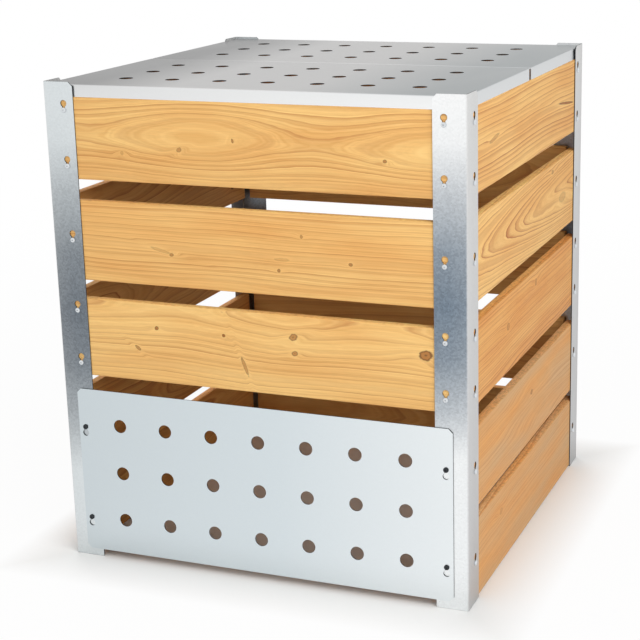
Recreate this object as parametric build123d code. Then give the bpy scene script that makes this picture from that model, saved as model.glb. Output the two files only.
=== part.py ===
from build123d import *
import os

# Compost bin: boards hung by their screws in the keyholes of four steel corner posts,
# a perforated removal panel at the foot of the front and a perforated lid in two halves.
# Millimetres, +Z up, front towards -Y, origin on the ground at the middle of the bin.

# Outer size over the posts
bin_width = 800.0
bin_depth = 800.0

# Corner posts, angles folded from galvanised sheet
post_leg = 60.0
post_sheet = 2.0
post_bend_radius = 1.0
post_tip_chamfer = 8.0
post_rise_above_lid = 4.0

# Boards, all alike, and the open gaps between them from the ground up
board_height = 150.0
board_thickness = 18.0
board_end_inset = 28.0
board_edge_chamfer = 1.5
ground_clearance = 1.5
gap_bottom_to_lower = 24.0
gap_lower_to_middle = 42.0
gap_middle_to_upper = 35.0
gap_upper_to_top = 39.0

# Board screws and the post's keyholes that hold them
screw_shank = 5.0
screw_head = 10.0
screw_head_height = 3.0
screw_bite = 13.0
screw_pair_spacing = 102.0
pilot_clearance = 0.15
pilot_end_clearance = 1.0
keyhole_inset = 40.0
keyhole_drop = 12.0
keyhole_slot_clearance = 0.5
keyhole_opening_clearance = 1.25

# Removal panel, a flat sheet hung on four shoulder screws
panel_sheet = 2.0
panel_height = 325.0
panel_bottom = 15.0
panel_edge_inset = 27.0
panel_corner_chamfer = 8.0
panel_hole = 26.0
panel_hole_pitch = 95.0
panel_hole_columns = 7
panel_hole_rows = 3
panel_screw_low = 80.0
panel_screw_high = 264.0
panel_shoulder = 6.0
panel_slot_clearance = 0.4
panel_head_clearance = 0.3
panel_nut_width = 8.0
panel_nut_height = 4.0
panel_thread_end = 1.0
bolt_clearance = 0.15

# Lid, two folded trays that lie inside the posts on the top boards
lid_sheet = 1.5
lid_flange = 23.0
lid_bend_radius = 2.0
lid_side_clearance = 1.5
lid_joint_gap = 4.0
lid_corner_relief = 4.0
lid_hole = 26.0
lid_column_pitch = 95.0
lid_row_pitch = 102.0
lid_hole_columns = 7
lid_hole_rows = 3

# Sides of the polygons that stand for the many small round holes and fasteners
perforation_sides = 18
keyhole_sides = 10
head_sides = 8
shank_sides = 6

# Heights that follow from the stack of boards
board_bottoms = {}
board_bottoms["bottom"] = ground_clearance
board_bottoms["lower"] = board_bottoms["bottom"] + board_height + gap_bottom_to_lower
board_bottoms["middle"] = board_bottoms["lower"] + board_height + gap_lower_to_middle
board_bottoms["upper"] = board_bottoms["middle"] + board_height + gap_middle_to_upper
board_bottoms["top"] = board_bottoms["upper"] + board_height + gap_upper_to_top
lid_seat = board_bottoms["top"] + board_height
lid_top = lid_seat + lid_flange
post_height = lid_top + post_rise_above_lid

# Levels that hang on two screws at each end, and the levels that the front wall has
paired_levels = ("top", "middle")
front_levels = ("top", "upper", "middle")
all_levels = tuple(board_bottoms)

# Each wall's own frame: x along the wall, y inwards from the posts' outer faces
wall_places = {
    "front": Pos(0, -bin_depth / 2, 0),
    "right": Pos(bin_width / 2, 0, 0) * Rot(0, 0, 90),
    "rear": Pos(0, bin_depth / 2, 0) * Rot(0, 0, 180),
    "left": Pos(-bin_width / 2, 0, 0) * Rot(0, 0, -90),
}
wall_spans = {"front": bin_width, "right": bin_depth, "rear": bin_width, "left": bin_depth}
wall_levels = {"front": front_levels, "right": all_levels, "rear": all_levels, "left": all_levels}


def screw_heights(level):
    """Heights of the screws at each end of the board at one level."""
    middle = board_bottoms[level] + board_height / 2
    if level in paired_levels:
        return [middle - screw_pair_spacing / 2, middle + screw_pair_spacing / 2]
    return [middle]


def rod(diameter, sides, y_start, y_end):
    """Bar along +Y between two depths of a wall."""
    return Pos(0, y_start, 0) * extrude(Plane.XZ * RegularPolygon(diameter / 2, sides), y_start - y_end)


def keyhole(slot, opening, depth):
    """Cutter with its screw seat at the origin: a slot that rises to a round opening."""
    outline = RegularPolygon(slot / 2, keyhole_sides)
    outline += Pos(0, keyhole_drop / 2) * Rectangle(slot, keyhole_drop)
    outline += Pos(0, keyhole_drop) * RegularPolygon(opening / 2, keyhole_sides)
    return extrude(Plane.XZ * outline, depth, both=True)


def wall_screw_places(wall):
    """Screw centres of a wall as (x, z), at both ends of each of its boards."""
    reach = wall_spans[wall] / 2 - keyhole_inset
    heights = [z for level in wall_levels[wall] for z in screw_heights(level)]
    return [(x, z) for x in (-reach, reach) for z in heights]


def board(wall, level):
    """Planed board with eased long edges and a pilot hole for each of its screws."""
    length = wall_spans[wall] - 2 * board_end_inset
    reach = wall_spans[wall] / 2 - keyhole_inset
    plank = Box(length, board_thickness, board_height, align=(Align.CENTER, Align.MIN, Align.MIN))
    plank = chamfer(plank.edges().filter_by(Axis.X), board_edge_chamfer)
    plank = Pos(0, post_sheet, board_bottoms[level]) * plank
    pilot_end = post_sheet + screw_bite + pilot_end_clearance
    pilot = rod(screw_shank + 2 * pilot_clearance, shank_sides, 0, pilot_end)
    for z in screw_heights(level):
        for x in (-reach, reach):
            plank -= Pos(x, 0, z) * pilot
    return wall_places[wall] * plank


def board_screw():
    """Screw with a flat round head that bears on the post, its shank through the slot into the board."""
    head = rod(screw_head, head_sides, -screw_head_height, 0)
    return head + rod(screw_shank, shank_sides, 0, post_sheet + screw_bite)


def wall_screws(wall):
    """All the board screws of one wall, as separate solids."""
    screw = board_screw()
    placed = [wall_places[wall] * Pos(x, 0, z) * screw for x, z in wall_screw_places(wall)]
    return Compound(children=[Part(s.solid().wrapped) for s in placed])


def panel_screw_places():
    """Centres of the panel's screws on the front wall as (x, z)."""
    reach = bin_width / 2 - keyhole_inset
    return [(x, z) for x in (-reach, reach) for z in (panel_screw_low, panel_screw_high)]


def post_angle():
    """Folded angle with its outer corner at the origin, legs along +X and +Y, leg tips cut off on top."""
    from_corner = (Align.MIN, Align.MIN)
    section = Rectangle(post_leg, post_leg, align=from_corner)
    section -= Pos(post_sheet, post_sheet) * Rectangle(post_leg, post_leg, align=from_corner)
    section = fillet(section.vertices().sort_by_distance((0, 0, 0))[0], post_bend_radius + post_sheet)
    inner_corner = section.vertices().sort_by_distance((post_sheet, post_sheet, 0))[0]
    section = fillet(inner_corner, post_bend_radius)
    angle = extrude(section, post_height)
    top_edges = angle.edges().group_by(Axis.Z)[-1]
    front_tip = top_edges.filter_by(Axis.Y).sort_by(Axis.X)[-1]
    side_tip = top_edges.filter_by(Axis.X).sort_by(Axis.Y)[-1]
    return chamfer([front_tip, side_tip], post_tip_chamfer)


def corner_post(levels_on_front_leg, carries_panel):
    """Post of the front left corner, with keyholes for its boards and bolt holes for the panel."""
    post = post_angle()
    slot = screw_shank + 2 * keyhole_slot_clearance
    opening = screw_head + 2 * keyhole_opening_clearance
    cutter = keyhole(slot, opening, post_leg / 2)
    for level in levels_on_front_leg:
        for z in screw_heights(level):
            post -= Pos(keyhole_inset, 0, z) * cutter
    side_cutter = Rot(0, 0, 90) * cutter
    for level in all_levels:
        for z in screw_heights(level):
            post -= Pos(0, keyhole_inset, z) * side_cutter
    if carries_panel:
        bolt_hole = rod(screw_shank + 2 * bolt_clearance, shank_sides, -post_sheet, 2 * post_sheet)
        for z in (panel_screw_low, panel_screw_high):
            post -= Pos(keyhole_inset, 0, z) * bolt_hole
    return Pos(-bin_width / 2, -bin_depth / 2, 0) * post


def removal_panel():
    """Flat sheet with cut corners, a grid of round holes and four keyholes that open downwards."""
    width = bin_width - 2 * panel_edge_inset
    middle = panel_bottom + panel_height / 2
    outline = Rectangle(width, panel_height)
    outline = chamfer(outline.vertices(), panel_corner_chamfer)
    grid = GridLocations(panel_hole_pitch, panel_hole_pitch, panel_hole_columns, panel_hole_rows)
    outline -= grid * RegularPolygon(panel_hole / 2, perforation_sides)
    sheet = wall_places["front"] * Pos(0, 0, middle) * extrude(Plane.XZ * outline, panel_sheet)
    slot = panel_shoulder + 2 * panel_slot_clearance
    opening = screw_head + 2 * keyhole_opening_clearance
    cutter = Rot(0, 180, 0) * keyhole(slot, opening, 2 * panel_sheet)
    for x, z in panel_screw_places():
        sheet -= wall_places["front"] * Pos(x, 0, z) * cutter
    return sheet


def panel_screws():
    """Shoulder screws: the shoulder bears on the post, and the panel hangs between it and the head."""
    head_seat = panel_sheet + panel_head_clearance
    screw = rod(screw_head, head_sides, -head_seat - screw_head_height, -head_seat)
    screw += rod(panel_shoulder, shank_sides, -head_seat, 0)
    screw += rod(screw_shank, shank_sides, 0, post_sheet + panel_nut_height + panel_thread_end)
    placed = [wall_places["front"] * Pos(x, 0, z) * screw for x, z in panel_screw_places()]
    return Compound(children=[Part(s.solid().wrapped) for s in placed])


def panel_nuts():
    """Hexagon nuts on the inner faces of the front posts."""
    section = RegularPolygon(panel_nut_width / 2, 6, major_radius=False)
    section -= RegularPolygon(screw_shank / 2 + bolt_clearance, shank_sides)
    nut = extrude(Plane.XZ * section, -panel_nut_height).moved(Pos(0, post_sheet, 0))
    placed = [wall_places["front"] * Pos(x, 0, z) * nut for x, z in panel_screw_places()]
    return Compound(children=[Part(s.solid().wrapped) for s in placed])


def lid_tray():
    """Half of the lid about its own middle: a perforated sheet with its four edges folded down."""
    inset = post_sheet + lid_side_clearance
    width = bin_width - 2 * inset
    depth = (bin_depth - 2 * inset - lid_joint_gap) / 2
    on_ground = (Align.CENTER, Align.CENTER, Align.MIN)
    tray = Box(width, depth, lid_flange, align=on_ground)
    tray = fillet(tray.edges().group_by(Axis.Z)[-1], lid_bend_radius)
    tray -= Box(width - 2 * lid_sheet, depth - 2 * lid_sheet, lid_flange - lid_sheet, align=on_ground)
    relief = Box(2 * lid_corner_relief, 2 * lid_corner_relief, lid_flange - lid_bend_radius, align=on_ground)
    for corner in GridLocations(width, depth, 2, 2):
        tray -= corner * relief
    hole = extrude(RegularPolygon(lid_hole / 2, perforation_sides), 2 * lid_flange)
    for place in GridLocations(lid_column_pitch, lid_row_pitch, lid_hole_columns, lid_hole_rows):
        tray -= place * hole
    return tray


def lid_half(side):
    """Lid half on its seat: side -1 is the front half and +1 the rear half."""
    inset = post_sheet + lid_side_clearance
    depth = (bin_depth - 2 * inset - lid_joint_gap) / 2
    return Pos(0, side * (depth + lid_joint_gap) / 2, lid_seat) * lid_tray()


def all_nodes():
    """Every piece of the bin under its name."""
    nodes = {}
    front_post = corner_post(front_levels, True)
    rear_post = mirror(corner_post(all_levels, False), about=Plane.XZ)
    nodes["front_left_post"] = front_post
    nodes["front_right_post"] = mirror(front_post, about=Plane.YZ)
    nodes["rear_left_post"] = rear_post
    nodes["rear_right_post"] = mirror(rear_post, about=Plane.YZ)
    for wall, levels in wall_levels.items():
        for level in levels:
            nodes[f"{wall}_board_{level}"] = board(wall, level)
        nodes[f"{wall}_wall_screws"] = wall_screws(wall)
    nodes["removal_panel"] = removal_panel()
    nodes["panel_screws"] = panel_screws()
    nodes["panel_nuts"] = panel_nuts()
    nodes["front_lid"] = lid_half(-1)
    nodes["rear_lid"] = lid_half(1)
    return nodes


os.makedirs("parts", exist_ok=True)
for name, shape in all_nodes().items():
    export_step(shape, f"parts/{name}.step")
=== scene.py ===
import math
import random
from collections import namedtuple

import bmesh
import bpy
from bpy.props import FloatProperty, FloatVectorProperty, IntProperty, PointerProperty
from mathutils import Color, Matrix, Vector


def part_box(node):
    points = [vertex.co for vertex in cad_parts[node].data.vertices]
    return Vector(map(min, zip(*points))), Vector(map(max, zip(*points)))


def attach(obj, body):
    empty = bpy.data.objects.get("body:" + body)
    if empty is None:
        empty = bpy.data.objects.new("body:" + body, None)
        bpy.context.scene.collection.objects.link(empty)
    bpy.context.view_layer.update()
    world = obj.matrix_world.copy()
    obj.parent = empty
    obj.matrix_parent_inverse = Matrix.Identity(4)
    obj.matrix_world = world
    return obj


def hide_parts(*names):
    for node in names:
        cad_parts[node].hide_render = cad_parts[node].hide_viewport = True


bl_info = {
    "name": "Compost Bin",
    "version": (1, 0, 0),
    "blender": (4, 5, 0),
    "location": "View3D > Sidebar > Compost Bin",
    "description": "Larch boards hung in galvanised corner posts, with a perforated removal panel and lid",
    "category": "Object",
}

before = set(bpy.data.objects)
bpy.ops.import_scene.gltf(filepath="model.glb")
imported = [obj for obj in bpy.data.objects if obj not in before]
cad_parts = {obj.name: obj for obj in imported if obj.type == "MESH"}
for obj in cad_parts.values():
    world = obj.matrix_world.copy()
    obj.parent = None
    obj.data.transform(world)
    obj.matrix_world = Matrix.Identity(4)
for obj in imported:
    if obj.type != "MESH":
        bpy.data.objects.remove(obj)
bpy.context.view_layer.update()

MM = 0.001
# Distance within which two points count as one, and the cosines above which an edge runs in a direction and a
# face looks in one
TINY = 1e-6
ALIGNED = 0.999
FACING = 0.9
RIGHT = Vector((1, 0, 0))
BACK = Vector((0, 1, 0))
UP = Vector((0, 0, 1))

# Posts' outer faces, read from the frame
post_low, post_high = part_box("front_left_post")
HALF_WIDTH = -post_low.x
HALF_DEPTH = -post_low.y
POST_LEG = post_high.x - post_low.x
POST_HEIGHT = post_high.z

# Sheet and fastener sizes that the frame's boxes don't give, as in the part's source
POST_SHEET = 2.0 * MM
POST_BEND = 3.0 * MM
POST_TIP_CUT = 8.0 * MM
KEYHOLE_INSET = 40.0 * MM
KEYHOLE_DROP = 12.0 * MM
KEYHOLE_SLOT = 3.0 * MM
KEYHOLE_OPENING = 6.25 * MM
SCREW_PAIR = 102.0 * MM
BOARD_SCREW_LENGTH = 15.0 * MM
PANEL_SCREW_HEIGHTS = (80.0 * MM, 264.0 * MM)
PANEL_SCREW_HOLE = 2.64 * MM
PANEL_SHOULDER = 3.0 * MM
PANEL_SLOT = 3.4 * MM
PANEL_CORNER_CUT = 8.0 * MM
NUT_HALF_WIDTH = 4.0 * MM
NUT_BORE = 2.65 * MM
NUT_CORNER_ROUND = 0.4 * MM
PERFORATION = 13.0 * MM
PANEL_PITCH = 95.0 * MM
LID_PITCH = (95.0 * MM, 102.0 * MM)
LID_SHEET = 1.5 * MM
LID_BEND = 2.0 * MM
LID_CORNER_RELIEF = 4.0 * MM

# Steps of the seven columns and three rows of perforations from a sheet's middle
PERFORATION_STEPS = [(i, j) for i in range(-3, 4) for j in range(-1, 2)]

# How finely the pieces are made: steps of a fold and of a board's edges, the board ends' round against the
# long edges', the lengths that a board is cut into so that its rings can swing, and the angle of a sharp edge
FOLD_STEPS = 5
EDGE_STEPS = 4
END_STEPS = 2
END_ROUND = 0.4
BOARD_LENGTHS = 24
SHARP_ANGLE = math.radians(32)
# Face attribute that marks where a sheet was cut
CUT_EDGE = "cut_edge"

# Each wall's directions along the wall and inwards, seen from outside with z up, and its place
WALLS = {
    "front": (RIGHT, BACK, HALF_DEPTH),
    "right": (BACK, -RIGHT, HALF_WIDTH),
    "rear": (-RIGHT, -BACK, HALF_DEPTH),
    "left": (-BACK, RIGHT, HALF_WIDTH),
}
LEVELS = ("bottom", "lower", "middle", "upper", "top")
FRONT_LEVELS = ("middle", "upper", "top")
PAIRED_LEVELS = ("middle", "top")

# How a board was sawn: the pith's place across and behind its outer face in mm, how far the pith nears the
# face in mm per metre of board, how far it swings away and back and where along the board it is nearest in
# mm, the mean ring width in mm, the tone from pale 0 by deep 1 to tan 2, how strong the lines are, and the
# knots
Figure = namedtuple("Figure", "across behind taper swing crest ring tone lines knots")
# A knot's place along and across the board from its middle, its half length and half width in mm, its
# tilt in degrees and how dark it is
Knot = namedtuple("Knot", "along across length width tilt depth")
FIGURES = {
    "front_board_top": Figure(
        across=12, behind=62, taper=0, swing=10, crest=-90, ring=6.5, tone=0.3, lines=0.6,
        knots=(
            Knot(-132, -12, 5, 4, 20, 0.6),
            Knot(-27, 8, 2, 4, 15, 0.8),
            Knot(255, -15, 3.5, 3, 0, 0.8),
            Knot(-247, -23, 3, 4, 0, 0.3),
        ),
    ),
    "front_board_upper": Figure(
        across=-128, behind=58, taper=-14, swing=5, crest=-80, ring=8.6, tone=0.35, lines=0.58,
        knots=(
            Knot(-158, -15, 4, 3, 0, 0.7),
            Knot(-180, -8, 20, 3, -14, 0.3),
            Knot(98, 35, 2.5, 3.5, 0, 0.6),
            Knot(53, -29, 3, 3, 0, 0.8),
            Knot(60, -9, 14, 3, 0, 0.25),
            Knot(189, -9, 3.5, 3, 0, 0.8),
        ),
    ),
    "front_board_middle": Figure(
        across=78, behind=66, taper=22, swing=10, crest=60, ring=8.6, tone=0.15, lines=0.55,
        knots=(
            Knot(-197, 29, 4, 3.5, 0, 0.9),
            Knot(-61, 27, 3, 3, 0, 1.0),
            Knot(76, 36, 8, 6, 20, 0.75),
            Knot(78, 6, 6, 4.5, 15, 0.75),
            Knot(324, 25, 12, 9, 5, 0.9),
            Knot(-238, -12, 7, 3, -35, 0.7),
            Knot(-21, -27, 18, 3.2, -70, 0.6),
        ),
    ),
    "right_board_top": Figure(
        across=-125, behind=52, taper=10, swing=6, crest=100, ring=8.2, tone=0.3, lines=1.0,
        knots=(Knot(-237, 4, 28, 4, 8, 0.45), Knot(272, -5, 58, 2.4, -6, 1.0)),
    ),
    "right_board_upper": Figure(
        across=10, behind=56, taper=66, swing=0, crest=0, ring=5.2, tone=0.25, lines=1.0,
        knots=(Knot(169, 60, 8, 4, 0, 0.6), Knot(250, -6, 26, 10, 0, 0.3)),
    ),
    "right_board_middle": Figure(
        across=-98, behind=50, taper=18, swing=4, crest=0, ring=5.0, tone=0.85, lines=1.0,
        knots=(Knot(-146, 13, 9, 7, 0, 0.5), Knot(48, 50, 7, 7, 0, 0.5)),
    ),
    "right_board_lower": Figure(
        across=130, behind=120, taper=10, swing=0, crest=0, ring=5.4, tone=1.35, lines=0.5,
        knots=(
            Knot(22, 24, 7, 5, 0, 0.7),
            Knot(104, 36, 44, 15, -8, 0.05),
            Knot(84, -22, 48, 17, -8, 0.05),
        ),
    ),
    "right_board_bottom": Figure(
        across=-140, behind=110, taper=15, swing=0, crest=0, ring=5.4, tone=1.45, lines=0.5,
        knots=(Knot(-190, 30, 9, 6, 10, 0.3),),
    ),
}
# Length over which a trunk's pith swings away and back, and the trunk's length from one board to the next
SWING_LENGTH = 450.0 * MM
TRUNK_STRETCH = 2.0

# The wood's patterns: the place that each follows, its size in mm along, across and into the board, and its
# detail. Fibres and saw marks are drawn coarser than they are, so that they show in the picture
LARCH_PATTERNS = {
    "sway": ("log_place", (500, 120, 120), 2.0),
    "waver": ("log_place", (60, 12, 12), 1.0),
    "rim": ("board_place", (6, 6, 6), 2.0),
    "fibre": ("log_place", (40, 0.7, 0.7), 2.0),
    "streak": ("log_place", (200, 3, 3), 3.0),
    "cloud": ("log_place", (250, 50, 50), 2.0),
    "saw_marks": ("board_place", (8, 4, 4), 3.0),
}
# How far the rings move from a true circle
RING_MOVES = (("sway", 20.0 * MM), ("waver", 1.6 * MM))
# A year from its early wood to the sharp end of its late wood: share of the ring and strength of the line
LATE_WOOD = ((0.0, 0.03), (0.4, 0.1), (0.64, 0.32), (0.82, 0.6), (0.91, 1.0), (0.965, 0.5), (1.0, 0.03))
# The range of a noise that is spread over the whole of a ramp or change
NOISE_RANGE = (0.3, 0.7)
# Roughness of planed wood from its dry fibres to its smooth ones, and of zinc plating from the places that
# handling has worn to fresh ones
WOOD_ROUGHNESS = (0.68, 0.5)
PLATING_ROUGHNESS = (0.2, 0.38)
# A knot's rim, the calm wood round it and the reach within which the lines part, in the knot's own radii
KNOT_RIM = (1.15, 1.5)
KNOT_CALM = (1.2, 3.0)
KNOT_BYPASS = 3.2
# How far the early wood's tone drifts to either side in clouds
TONE_DRIFT = 0.15
# A post's painted reflection, a dark band along its height: place and darkness, the darkest place, and on the
# left and the right posts the share of the height where that comes and how closely the band is drawn together
DARK_REFLECTION_BAND = (
    (0.32, 0.0), (0.41, 0.56), (0.505, 0.9), (0.6, 1.0), (0.7, 0.87), (0.795, 0.52), (0.89, 0.05), (0.95, 0.0)
)
DARKEST_REFLECTION = 0.6
DARK_REFLECTION_CENTRE = (0.53, 0.61)
DARK_REFLECTION_CLOSENESS = (0.82, 0.95)

# A screw head's outline from its middle to its rim, as shares of its radius and height
HEAD_OUTLINE = ((0, -1), (0.55, -0.97), (0.82, -0.8), (0.96, -0.5), (1, -0.2), (0.98, 0))
# Its cross recess: turn in radians, outer and inner reach as shares of the head's radius, depth as a share of
# the head's height about its top, and how thin a blade is against its reach
RECESS_TURN = 0.35
RECESS_REACH = (0.62, 0.2)
RECESS_DEPTH = 1.2
RECESS_THINNESS = 0.24
# A shank's point as a share of its radius
SHANK_POINT = 0.3

# The floor's share of plain white, by its distance from the bin as a share of the shadow's reach; the small
# share under the bin is painted light on the shaded floor inside it
FLOOR_WHITENESS = ((0.0, 0.02), (0.05, 0.95), (1.0, 1.0))
# The camera's place in metres, its yaw, pitch and roll in radians, and the shift of its frame
CAMERA_PLACE = (1.15986, -2.80358, 1.26244)
CAMERA_TURN = (0.3704, -0.2626, -0.0203)
CAMERA_SHIFT = (-0.08, -0.04)
SENSOR_WIDTH = 36.0

# A Mix node's colours and result go by number, because its socket names repeat
MIX_A, MIX_B, MIX_RESULT = 6, 7, 2


def linear(hex_colour):
    """Scene-linear colour of an sRGB hex value."""
    parts = [int(hex_colour[i : i + 2], 16) / 255 for i in (1, 3, 5)]
    return [c / 12.92 if c <= 0.04045 else ((c + 0.055) / 1.055) ** 2.4 for c in parts]


def add_node(tree, kind, links=None, stops=None, **settings):
    """Adds a node with its settings; each input gets a plain value, a colour or another node's output, and a
    ramp's stops are colours or grey levels."""
    node = tree.nodes.new(kind)
    for name, value in settings.items():
        setattr(node, name, value)
    for key, value in (links or {}).items():
        if isinstance(value, bpy.types.NodeSocket):
            tree.links.new(value, node.inputs[key])
        else:
            node.inputs[key].default_value = (*value, 1.0) if isinstance(value, Color) else value
    if stops:
        ramp = node.color_ramp.elements
        while len(ramp) < len(stops):
            ramp.new(1.0)
        for element, (position, colour) in zip(ramp, stops):
            element.position = position
            element.color = (colour, colour, colour, 1.0) if isinstance(colour, float) else (*colour, 1.0)
    return node


def new_material(name):
    """Empty node material with its surface shader linked to the output."""
    material = bpy.data.materials.new(name)
    material.use_nodes = True
    tree = material.node_tree
    tree.nodes.clear()
    shader = add_node(tree, "ShaderNodeBsdfPrincipled")
    add_node(tree, "ShaderNodeOutputMaterial", {"Surface": shader.outputs[0]})
    return material, tree, shader


def figure_of(name):
    """The board's figure: as photographed, or drawn by its name for the boards that the photograph hides."""
    if name in FIGURES:
        return FIGURES[name]
    draw = random.Random(name)
    knots = []
    for _ in range(draw.randint(2, 5)):
        size = draw.uniform(3, 8)
        knot = Knot(
            along=draw.uniform(-330, 330),
            across=draw.uniform(-55, 55),
            length=1.2 * size,
            width=size,
            tilt=0,
            depth=draw.uniform(0.5, 0.9),
        )
        knots.append(knot)
    return Figure(
        across=draw.uniform(-130, 130),
        behind=draw.uniform(50, 100),
        taper=draw.uniform(-50, 50),
        swing=draw.uniform(0, 14),
        crest=draw.uniform(-200, 200),
        ring=draw.uniform(5.5, 8.5),
        tone=draw.uniform(0.3, 0.7),
        lines=draw.uniform(0.5, 0.8),
        knots=tuple(knots),
    )


def knot_nodes(tree, knot, place, rim):
    """Nodes for a knot, whose branch runs straight through the board: how far the lines part round it, and
    the distance from it in its own radii with a ragged rim."""
    own = add_node(
        tree,
        "ShaderNodeMapping",
        {
            "Vector": place,
            "Location": (knot.along * MM, knot.across * MM, 0.0),
            "Rotation": (0.0, 0.0, math.radians(knot.tilt)),
            "Scale": (knot.length * MM, knot.width * MM, 1.0),
        },
        vector_type="TEXTURE",
    ).outputs[0]
    reach = add_node(tree, "ShaderNodeVectorMath", {0: own}, operation="LENGTH").outputs["Value"]
    ragged = add_node(tree, "ShaderNodeMath", {0: rim, 1: 0.6, 2: reach}, operation="MULTIPLY_ADD").outputs[0]
    # The lines part gently, over a stretch longer than the knot itself
    drawn = add_node(tree, "ShaderNodeVectorMath", {0: own, 1: (0.35, 1.0, 1.0)}, operation="MULTIPLY")
    near = add_node(tree, "ShaderNodeVectorMath", {0: drawn.outputs[0]}, operation="LENGTH")
    swell = add_node(
        tree,
        "ShaderNodeMapRange",
        {
            "Value": near.outputs["Value"],
            "From Min": 0.0,
            "From Max": KNOT_BYPASS,
            "To Min": 0.9 * knot.width * MM,
            "To Max": 0.0,
        },
        interpolation_type="SMOOTHERSTEP",
    ).outputs[0]
    return swell, ragged


def larch(name, figure, settings):
    """Planed larch: pale early wood and reddish late-wood lines cut from curved growth rings, with brown
    knots that the lines bend around, a dry matt face on which fine fibres show, and narrow edges left as
    sawn, paler and with painted light on them."""
    material, tree, shader = new_material(f"planed_larch_{name}")
    places = {}
    for place in ("log_place", "board_place"):
        places[place] = add_node(tree, "ShaderNodeAttribute", attribute_name=place).outputs["Vector"]
    patterns = {}
    for pattern, (place, size, detail) in LARCH_PATTERNS.items():
        scale = [1 / (extent * MM) for extent in size]
        scaled = add_node(tree, "ShaderNodeVectorMath", {0: places[place], 1: scale}, operation="MULTIPLY")
        noise = add_node(
            tree, "ShaderNodeTexNoise", {"Vector": scaled.outputs[0], "Scale": 1.0, "Detail": detail}
        )
        patterns[pattern] = noise.outputs["Fac"]

    # Distance from the pith, swayed, wavered and swollen at the knots
    flat = add_node(
        tree, "ShaderNodeVectorMath", {0: places["log_place"], 1: (0.0, 1.0, 1.0)}, operation="MULTIPLY"
    ).outputs[0]
    radius = add_node(tree, "ShaderNodeVectorMath", {0: flat}, operation="LENGTH").outputs["Value"]
    for pattern, reach in RING_MOVES:
        radius = add_node(
            tree, "ShaderNodeMath", {0: patterns[pattern], 1: reach, 2: radius}, operation="MULTIPLY_ADD"
        ).outputs[0]
    core, calm, nearest = 0.0, 0.0, 2.0
    for knot in figure.knots:
        swell, ragged = knot_nodes(tree, knot, places["board_place"], patterns["rim"])
        radius = add_node(tree, "ShaderNodeMath", {0: radius, 1: swell}, operation="ADD").outputs[0]
        inside = add_node(
            tree,
            "ShaderNodeMapRange",
            {
                "Value": ragged,
                "From Min": KNOT_RIM[0],
                "From Max": KNOT_RIM[1],
                "To Min": knot.depth,
                "To Max": 0.0,
            },
            interpolation_type="SMOOTHSTEP",
        ).outputs[0]
        around = add_node(
            tree,
            "ShaderNodeMapRange",
            {
                "Value": ragged,
                "From Min": KNOT_CALM[0],
                "From Max": KNOT_CALM[1],
                "To Min": 0.6,
                "To Max": 0.0,
            },
        ).outputs[0]
        core = add_node(tree, "ShaderNodeMath", {0: core, 1: inside}, operation="MAXIMUM").outputs[0]
        calm = add_node(tree, "ShaderNodeMath", {0: calm, 1: around}, operation="MAXIMUM").outputs[0]
        nearest = add_node(tree, "ShaderNodeMath", {0: nearest, 1: ragged}, operation="MINIMUM").outputs[0]

    # Growth rings of uneven width: each deepens slowly to its late wood, which ends at a sharp line
    count = add_node(tree, "ShaderNodeMath", {0: radius, 1: figure.ring * MM}, operation="DIVIDE").outputs[0]
    uneven = add_node(
        tree, "ShaderNodeTexNoise", {"W": count, "Scale": 0.45, "Detail": 1.0}, noise_dimensions="1D"
    ).outputs["Fac"]
    phase = add_node(
        tree, "ShaderNodeMath", {0: uneven, 1: 2.2, 2: count}, operation="MULTIPLY_ADD"
    ).outputs[0]
    ring = add_node(tree, "ShaderNodeMath", {0: phase}, operation="FRACT").outputs[0]
    year = add_node(tree, "ShaderNodeMath", {0: phase}, operation="FLOOR").outputs[0]
    vigour = add_node(tree, "ShaderNodeTexWhiteNoise", {"W": year}, noise_dimensions="1D").outputs["Value"]
    strength = add_node(
        tree,
        "ShaderNodeMapRange",
        {"Value": vigour, "To Min": 0.4 * figure.lines, "To Max": 1.1 * figure.lines},
    ).outputs[0]
    lively = add_node(tree, "ShaderNodeMath", {0: 1.0, 1: calm}, operation="SUBTRACT").outputs[0]
    late = add_node(tree, "ShaderNodeValToRGB", {"Fac": ring}, stops=LATE_WOOD).outputs["Color"]
    for share in (strength, lively):
        late = add_node(tree, "ShaderNodeMath", {0: late, 1: share}, operation="MULTIPLY").outputs[0]
    # Finer lines within each year, about a fifth of a ring wide
    season = add_node(
        tree, "ShaderNodeTexNoise", {"W": phase, "Scale": 5.0, "Detail": 2.0}, noise_dimensions="1D"
    ).outputs["Fac"]

    # The early wood's tone changes a little in clouds
    low, high = NOISE_RANGE
    tone = add_node(
        tree,
        "ShaderNodeMapRange",
        {
            "Value": patterns["cloud"],
            "From Min": low,
            "From Max": high,
            "To Min": figure.tone / 2 - TONE_DRIFT,
            "To Max": figure.tone / 2 + TONE_DRIFT,
        },
    ).outputs[0]
    early = add_node(
        tree,
        "ShaderNodeValToRGB",
        {"Fac": tone},
        stops=((0.0, settings.early_pale), (0.5, settings.early_deep), (1.0, settings.early_tan)),
    ).outputs["Color"]
    colour = add_node(
        tree, "ShaderNodeMix", {"Factor": late, MIX_A: early, MIX_B: settings.late}, data_type="RGBA"
    ).outputs[MIX_RESULT]
    # Fibres and streaks darken the wood; within each year the darker lines are redder too
    for marks, darker in (
        (patterns["fibre"], settings.fibre_shade),
        (patterns["streak"], settings.streak_shade),
        (season, settings.season_shade),
    ):
        shade = add_node(tree, "ShaderNodeValToRGB", {"Fac": marks}, stops=((low, darker), (high, 1.0)))
        colour = add_node(
            tree,
            "ShaderNodeMix",
            {"Factor": 1.0, MIX_A: colour, MIX_B: shade.outputs["Color"]},
            data_type="RGBA",
            blend_type="MULTIPLY",
        ).outputs[MIX_RESULT]
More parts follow.
